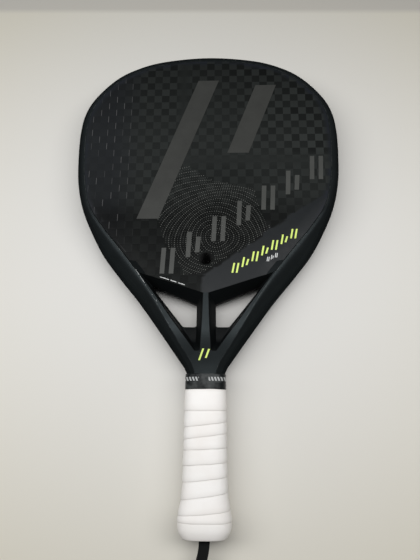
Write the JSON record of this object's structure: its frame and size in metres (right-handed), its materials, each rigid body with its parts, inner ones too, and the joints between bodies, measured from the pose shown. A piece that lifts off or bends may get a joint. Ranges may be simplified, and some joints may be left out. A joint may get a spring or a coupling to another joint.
{
  "type": "padel racket",
  "caption": "Padel racket with a foam core between carbon faces in a moulded frame, open throat, wrapped handle and a wrist strap with a slider.",
  "frame": {"origin": "on the surface that the racket lies on, under the middle of the racket without its strap", "axes": "+Y from the handle to the head's tip, +Z normal to the front face, +X to the right seen from the front"},
  "size_m": [0.2582, 0.652, 0.038],
  "materials": {
    "frame_paint": "satin black paint over moulded carbon",
    "face_carbon": "wide-tow carbon weave under satin lacquer",
    "core_foam": "dark closed-cell foam",
    "protector_plastic": "satin moulded plastic",
    "handle_foam": "foam",
    "pallet_plastic": "moulded, as it leaves the mould",
    "base_wrap": "cushioned synthetic wrap",
    "tape_vinyl": "glossy vinyl tape",
    "grip_wrap": "tacky coated wrap",
    "cap_plastic": "moulded plastic",
    "pin_steel": "plain",
    "webbing": "woven polyester webbing",
    "slider_plastic": "moulded plastic"
  },
  "bodies": {
    "racket": {"frame_tube": "frame_paint", "throat_bridge": "frame_paint", "eva_core": "core_foam", "front_face": "face_carbon", "back_face": "face_carbon", "edge_protector": "protector_plastic", "handle_core": "handle_foam", "pallet_front": "pallet_plastic", "pallet_back": "pallet_plastic", "base_grip": "base_wrap", "base_grip_tape": "tape_vinyl", "overgrip": "grip_wrap", "finishing_tape": "tape_vinyl", "butt_cap": "cap_plastic", "strap_pin": "pin_steel", "wrist_strap": "webbing"},
    "slider": {"strap_slider": "slider_plastic"}
  },
  "joints": [
    {"name": "slider_slide", "type": "slide", "parent": "racket", "child": "slider", "axis": [-0.1392, -0.9903, 0], "range_m": [0, 0.024]}
  ]
}
